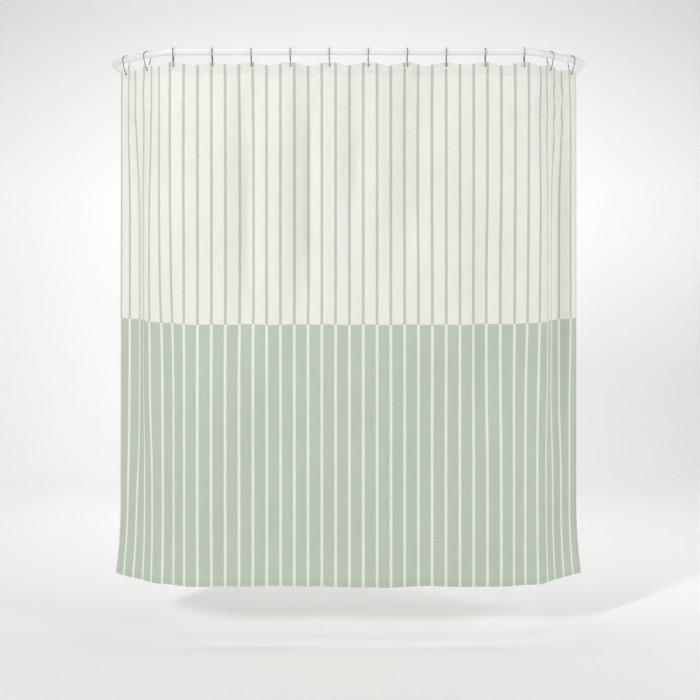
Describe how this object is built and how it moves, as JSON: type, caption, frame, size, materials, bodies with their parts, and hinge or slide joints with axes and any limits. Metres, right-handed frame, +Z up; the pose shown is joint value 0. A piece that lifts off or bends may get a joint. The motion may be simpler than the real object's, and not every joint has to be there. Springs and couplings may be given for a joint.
{
  "type": "shower curtain",
  "caption": "Striped two-tone fabric shower curtain hung by snap-open wire rings from a white U-shaped wall-mounted bay rail, its ends turned back round the corners.",
  "frame": {"origin": "on the wall plane, midway between the two wall flanges, on the rail's axis", "axes": "+X along the rail's front to the right as seen from outside the tub, +Y into the wall, +Z up"},
  "size_m": [1.814, 0.8678, 1.8976],
  "materials": {
    "rail_paint": "satin white",
    "ring_metal": "polished dark wire",
    "curtain_cloth": "plain woven polyester, cream above and sage green below, with fine vertical stripes",
    "screw_steel": "zinc plated",
    "sleeve_metal": "mill finish"
  },
  "bodies": {
    "frame": {"rail_centre": "rail_paint", "rail_left_arm": "rail_paint", "rail_right_arm": "rail_paint", "left_coupler": "sleeve_metal", "right_coupler": "sleeve_metal", "coupler_screws": "screw_steel", "left_wall_flange": "rail_paint", "right_wall_flange": "rail_paint", "flange_grub_screws": "screw_steel", "curtain_front": "curtain_cloth"},
    "left_fold_1": {"left_fold_1": "curtain_cloth"},
    "left_fold_2": {"left_fold_2": "curtain_cloth"},
    "left_fold_3": {"left_fold_3": "curtain_cloth"},
    "left_fold_4": {"left_fold_4": "curtain_cloth"},
    "right_fold_1": {"right_fold_1": "curtain_cloth"},
    "right_fold_2": {"right_fold_2": "curtain_cloth"},
    "right_fold_3": {"right_fold_3": "curtain_cloth"},
    "right_fold_4": {"right_fold_4": "curtain_cloth"},
    "ring_01": {"ring_01": "ring_metal"},
    "ring_01_arm": {"ring_01_arm": "ring_metal"},
    "ring_02": {"ring_02": "ring_metal"},
    "ring_02_arm": {"ring_02_arm": "ring_metal"},
    "ring_03": {"ring_03": "ring_metal"},
    "ring_03_arm": {"ring_03_arm": "ring_metal"},
    "ring_04": {"ring_04": "ring_metal"},
    "ring_04_arm": {"ring_04_arm": "ring_metal"},
    "ring_05": {"ring_05": "ring_metal"},
    "ring_05_arm": {"ring_05_arm": "ring_metal"},
    "ring_06": {"ring_06": "ring_metal"},
    "ring_06_arm": {"ring_06_arm": "ring_metal"},
    "ring_07": {"ring_07": "ring_metal"},
    "ring_07_arm": {"ring_07_arm": "ring_metal"},
    "ring_08": {"ring_08": "ring_metal"},
    "ring_08_arm": {"ring_08_arm": "ring_metal"},
    "ring_09": {"ring_09": "ring_metal"},
    "ring_09_arm": {"ring_09_arm": "ring_metal"},
    "ring_10": {"ring_10": "ring_metal"},
    "ring_10_arm": {"ring_10_arm": "ring_metal"},
    "ring_11": {"ring_11": "ring_metal"},
    "ring_11_arm": {"ring_11_arm": "ring_metal"},
    "ring_12": {"ring_12": "ring_metal"},
    "ring_12_arm": {"ring_12_arm": "ring_metal"},
    "ring_13": {"ring_13": "ring_metal"},
    "ring_13_arm": {"ring_13_arm": "ring_metal"},
    "ring_14": {"ring_14": "ring_metal"},
    "ring_14_arm": {"ring_14_arm": "ring_metal"}
  },
  "joints": [
    {"name": "left_draw", "type": "hinge", "parent": "frame", "child": "left_fold_1", "pos_m": [-0.645, -0.85, 0], "axis": [0, 0, 1], "range_deg": [0, 60]},
    {"name": "left_pleat_1", "type": "hinge", "parent": "left_fold_1", "child": "left_fold_2", "pos_m": [-0.68012, -0.81234, 0], "axis": [0, 0, 1], "range_deg": [-120, 0]},
    {"name": "left_valley", "type": "hinge", "parent": "left_fold_2", "child": "left_fold_3", "pos_m": [-0.71525, -0.77467, 0], "axis": [0, 0, 1], "range_deg": [0, 120]},
    {"name": "left_pleat_2", "type": "hinge", "parent": "left_fold_3", "child": "left_fold_4", "pos_m": [-0.76162, -0.72494, 0], "axis": [0, 0, 1], "range_deg": [-120, 0]},
    {"name": "ring_02_turn", "type": "hinge", "parent": "left_fold_2", "child": "ring_02", "pos_m": [-0.71525, -0.77467, 0], "axis": [0, 0, 1], "range_deg": [0, 60]},
    {"name": "ring_01_turn", "type": "hinge", "parent": "left_fold_4", "child": "ring_01", "pos_m": [-0.808, -0.67521, 0], "axis": [0, 0, 1], "range_deg": [0, 38]},
    {"name": "right_draw", "type": "hinge", "parent": "frame", "child": "right_fold_1", "pos_m": [0.645, -0.85, 0], "axis": [0, 0, -1], "range_deg": [0, 60]},
    {"name": "right_pleat_1", "type": "hinge", "parent": "right_fold_1", "child": "right_fold_2", "pos_m": [0.68012, -0.81234, 0], "axis": [0, 0, -1], "range_deg": [-120, 0]},
    {"name": "right_valley", "type": "hinge", "parent": "right_fold_2", "child": "right_fold_3", "pos_m": [0.71525, -0.77467, 0], "axis": [0, 0, -1], "range_deg": [0, 120]},
    {"name": "right_pleat_2", "type": "hinge", "parent": "right_fold_3", "child": "right_fold_4", "pos_m": [0.76162, -0.72494, 0], "axis": [0, 0, -1], "range_deg": [-120, 0]},
    {"name": "ring_13_turn", "type": "hinge", "parent": "right_fold_2", "child": "ring_13", "pos_m": [0.71525, -0.77467, 0], "axis": [0, 0, -1], "range_deg": [0, 60]},
    {"name": "ring_14_turn", "type": "hinge", "parent": "right_fold_4", "child": "ring_14", "pos_m": [0.808, -0.67521, 0], "axis": [0, 0, -1], "range_deg": [0, 38]},
    {"name": "ring_03_slide", "type": "slide", "parent": "frame", "child": "ring_03", "axis": [1, 0, 0], "range_m": [-0.005, 0.005]},
    {"name": "ring_04_slide", "type": "slide", "parent": "frame", "child": "ring_04", "axis": [1, 0, 0], "range_m": [-0.005, 0.005]},
    {"name": "ring_05_slide", "type": "slide", "parent": "frame", "child": "ring_05", "axis": [1, 0, 0], "range_m": [-0.005, 0.005]},
    {"name": "ring_06_slide", "type": "slide", "parent": "frame", "child": "ring_06", "axis": [1, 0, 0], "range_m": [-0.005, 0.005]},
    {"name": "ring_07_slide", "type": "slide", "parent": "frame", "child": "ring_07", "axis": [1, 0, 0], "range_m": [-0.005, 0.005]},
    {"name": "ring_08_slide", "type": "slide", "parent": "frame", "child": "ring_08", "axis": [1, 0, 0], "range_m": [-0.005, 0.005]},
    {"name": "ring_09_slide", "type": "slide", "parent": "frame", "child": "ring_09", "axis": [1, 0, 0], "range_m": [-0.005, 0.005]},
    {"name": "ring_10_slide", "type": "slide", "parent": "frame", "child": "ring_10", "axis": [1, 0, 0], "range_m": [-0.005, 0.005]},
    {"name": "ring_11_slide", "type": "slide", "parent": "frame", "child": "ring_11", "axis": [1, 0, 0], "range_m": [-0.005, 0.005]},
    {"name": "ring_12_slide", "type": "slide", "parent": "frame", "child": "ring_12", "axis": [1, 0, 0], "range_m": [-0.005, 0.005]},
    {"name": "ring_01_snap", "type": "hinge", "parent": "ring_01", "child": "ring_01_arm", "pos_m": [-0.80441, -0.67186, -0.04718], "axis": [0.682, -0.7314, 0], "range_deg": [0, 18], "stiffness_Nm_per_rad": 0.02, "springref_deg": -11.46},
    {"name": "ring_02_snap", "type": "hinge", "parent": "ring_02", "child": "ring_02_arm", "pos_m": [-0.71166, -0.77133, -0.04718], "axis": [0.682, -0.7314, 0], "range_deg": [0, 18], "stiffness_Nm_per_rad": 0.02, "springref_deg": -11.46},
    {"name": "ring_03_snap", "type": "hinge", "parent": "ring_03", "child": "ring_03_arm", "pos_m": [-0.612, -0.8451, -0.04718], "axis": [1, 0, 0], "range_deg": [0, 18], "stiffness_Nm_per_rad": 0.02, "springref_deg": -11.46},
    {"name": "ring_04_snap", "type": "hinge", "parent": "ring_04", "child": "ring_04_arm", "pos_m": [-0.476, -0.8451, -0.04718], "axis": [1, 0, 0], "range_deg": [0, 18], "stiffness_Nm_per_rad": 0.02, "springref_deg": -11.46},
    {"name": "ring_05_snap", "type": "hinge", "parent": "ring_05", "child": "ring_05_arm", "pos_m": [-0.34, -0.8451, -0.04718], "axis": [1, 0, 0], "range_deg": [0, 18], "stiffness_Nm_per_rad": 0.02, "springref_deg": -11.46},
    {"name": "ring_06_snap", "type": "hinge", "parent": "ring_06", "child": "ring_06_arm", "pos_m": [-0.204, -0.8451, -0.04718], "axis": [1, 0, 0], "range_deg": [0, 18], "stiffness_Nm_per_rad": 0.02, "springref_deg": -11.46},
    {"name": "ring_07_snap", "type": "hinge", "parent": "ring_07", "child": "ring_07_arm", "pos_m": [-0.068, -0.8451, -0.04718], "axis": [1, 0, 0], "range_deg": [0, 18], "stiffness_Nm_per_rad": 0.02, "springref_deg": -11.46},
    {"name": "ring_08_snap", "type": "hinge", "parent": "ring_08", "child": "ring_08_arm", "pos_m": [0.068, -0.8451, -0.04718], "axis": [1, 0, 0], "range_deg": [0, 18], "stiffness_Nm_per_rad": 0.02, "springref_deg": -11.46},
    {"name": "ring_09_snap", "type": "hinge", "parent": "ring_09", "child": "ring_09_arm", "pos_m": [0.204, -0.8451, -0.04718], "axis": [1, 0, 0], "range_deg": [0, 18], "stiffness_Nm_per_rad": 0.02, "springref_deg": -11.46},
    {"name": "ring_10_snap", "type": "hinge", "parent": "ring_10", "child": "ring_10_arm", "pos_m": [0.34, -0.8451, -0.04718], "axis": [1, 0, 0], "range_deg": [0, 18], "stiffness_Nm_per_rad": 0.02, "springref_deg": -11.46},
    {"name": "ring_11_snap", "type": "hinge", "parent": "ring_11", "child": "ring_11_arm", "pos_m": [0.476, -0.8451, -0.04718], "axis": [1, 0, 0], "range_deg": [0, 18], "stiffness_Nm_per_rad": 0.02, "springref_deg": -11.46},
    {"name": "ring_12_snap", "type": "hinge", "parent": "ring_12", "child": "ring_12_arm", "pos_m": [0.612, -0.8451, -0.04718], "axis": [1, 0, 0], "range_deg": [0, 18], "stiffness_Nm_per_rad": 0.02, "springref_deg": -11.46},
    {"name": "ring_13_snap", "type": "hinge", "parent": "ring_13", "child": "ring_13_arm", "pos_m": [0.71166, -0.77133, -0.04718], "axis": [0.682, 0.7314, 0], "range_deg": [0, 18], "stiffness_Nm_per_rad": 0.02, "springref_deg": -11.46},
    {"name": "ring_14_snap", "type": "hinge", "parent": "ring_14", "child": "ring_14_arm", "pos_m": [0.80441, -0.67186, -0.04718], "axis": [0.682, 0.7314, 0], "range_deg": [0, 18], "stiffness_Nm_per_rad": 0.02, "springref_deg": -11.46}
  ],
  "couplings": [
    {"joint": "left_pleat_1", "follows": "left_draw", "ratio": -2},
    {"joint": "left_valley", "follows": "left_draw", "ratio": 2},
    {"joint": "left_pleat_2", "follows": "left_draw", "ratio": -2},
    {"joint": "ring_02_turn", "follows": "left_draw", "ratio": 1},
    {"joint": "ring_01_turn", "follows": "left_draw", "ratio": 0.63333},
    {"joint": "right_pleat_1", "follows": "right_draw", "ratio": -2},
    {"joint": "right_valley", "follows": "right_draw", "ratio": 2},
    {"joint": "right_pleat_2", "follows": "right_draw", "ratio": -2},
    {"joint": "ring_13_turn", "follows": "right_draw", "ratio": 1},
    {"joint": "ring_14_turn", "follows": "right_draw", "ratio": 0.63333}
  ]
}
